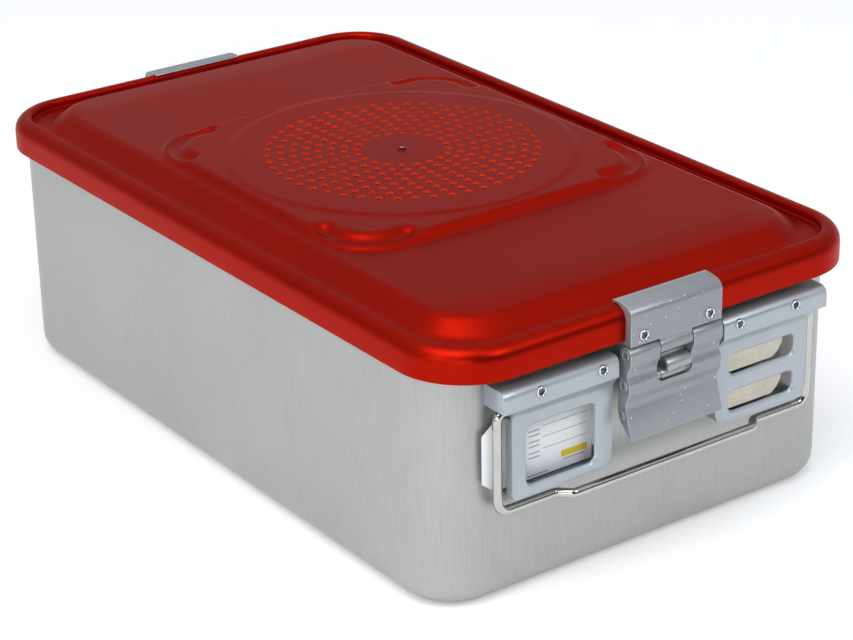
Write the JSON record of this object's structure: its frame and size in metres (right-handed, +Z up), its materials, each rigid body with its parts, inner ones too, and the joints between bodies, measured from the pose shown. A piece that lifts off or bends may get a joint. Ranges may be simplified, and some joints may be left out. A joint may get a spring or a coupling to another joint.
{
  "type": "sterilization container",
  "caption": "Rigid metal container for sterilizing surgical instruments, with a vented lid, end latches, drop handles, label card and tag brackets.",
  "frame": {"origin": "centre of the bounding box on the plane the container rests on", "axes": "+X along the long side towards one latched end, +Z up"},
  "size_m": [0.4782, 0.28, 0.1595],
  "materials": {
    "base_metal": "satin anodised, faint scratches",
    "lid_paint": "red coat with a silky sheen",
    "gasket_rubber": "matt silicone rubber",
    "cover_metal": "satin",
    "filter_paper": "soft matt paper",
    "bracket_steel": "smooth rolled sheet with bright edges",
    "spring_steel": "smooth rolled sheet",
    "rivet_steel": "bright turned",
    "bearing_metal": "satin",
    "handle_steel": "polished wire",
    "label_card": "stiff coated card",
    "latch_metal": "satin extruded section",
    "pin_steel": "ground pins",
    "claw_steel": "smooth"
  },
  "bodies": {
    "base": {"base_tray": "base_metal", "front_label_bracket": "bracket_steel", "front_tag_bracket": "bracket_steel", "front_bracket_rivets": "rivet_steel", "front_tag_side_bearing": "bearing_metal", "front_label_side_bearing": "bearing_metal", "front_tag_spring": "spring_steel", "front_latch_catch": "claw_steel", "front_catch_rivets": "rivet_steel", "rear_label_bracket": "bracket_steel", "rear_tag_bracket": "bracket_steel", "rear_bracket_rivets": "rivet_steel", "rear_tag_side_bearing": "bearing_metal", "rear_label_side_bearing": "bearing_metal", "rear_tag_spring": "spring_steel", "rear_latch_catch": "claw_steel", "rear_catch_rivets": "rivet_steel"},
    "lid": {"lid_shell": "lid_paint", "lid_gasket": "gasket_rubber", "filter_post": "rivet_steel", "front_latch_plate": "latch_metal", "front_plate_rivets": "rivet_steel", "rear_latch_plate": "latch_metal", "rear_plate_rivets": "rivet_steel"},
    "filter_retainer": {"filter_cover": "cover_metal", "filter_paper": "filter_paper"},
    "front_lever": {"front_latch_lever": "latch_metal", "front_latch_pins": "pin_steel"},
    "front_claw": {"front_latch_claw": "claw_steel"},
    "front_handle": {"front_handle": "handle_steel"},
    "front_label_card": {"front_label_card": "label_card"},
    "rear_lever": {"rear_latch_lever": "latch_metal", "rear_latch_pins": "pin_steel"},
    "rear_claw": {"rear_latch_claw": "claw_steel"},
    "rear_handle": {"rear_handle": "handle_steel"},
    "rear_label_card": {"rear_label_card": "label_card"}
  },
  "joints": [
    {"name": "lid_lift", "type": "slide", "parent": "base", "child": "lid", "axis": [0, 0, 1], "range_m": [0, 0.15]},
    {"name": "filter_retainer_drop", "type": "slide", "parent": "lid", "child": "filter_retainer", "axis": [0, 0, -1], "range_m": [0, 0.06]},
    {"name": "front_lever_swing", "type": "hinge", "parent": "lid", "child": "front_lever", "pos_m": [0.2334, 0, 0.1232], "axis": [0, -1, 0], "range_deg": [0, 100]},
    {"name": "front_claw_swing", "type": "hinge", "parent": "front_lever", "child": "front_claw", "pos_m": [0.2324, 0, 0.106], "axis": [0, -1, 0], "range_deg": [-8, 0]},
    {"name": "front_handle_swing", "type": "hinge", "parent": "base", "child": "front_handle", "pos_m": [0.2238, 0, 0.1095], "axis": [0, -1, 0], "range_deg": [0, 90]},
    {"name": "front_label_card_slide", "type": "slide", "parent": "base", "child": "front_label_card", "axis": [0, -1, 0], "range_m": [0, 0.075]},
    {"name": "rear_lever_swing", "type": "hinge", "parent": "lid", "child": "rear_lever", "pos_m": [-0.2334, 0, 0.1232], "axis": [0, 1, 0], "range_deg": [0, 100]},
    {"name": "rear_claw_swing", "type": "hinge", "parent": "rear_lever", "child": "rear_claw", "pos_m": [-0.2324, 0, 0.106], "axis": [0, 1, 0], "range_deg": [-8, 0]},
    {"name": "rear_handle_swing", "type": "hinge", "parent": "base", "child": "rear_handle", "pos_m": [-0.2238, 0, 0.1095], "axis": [0, 1, 0], "range_deg": [0, 90]},
    {"name": "rear_label_card_slide", "type": "slide", "parent": "base", "child": "rear_label_card", "axis": [0, 1, 0], "range_m": [0, 0.075]}
  ]
}
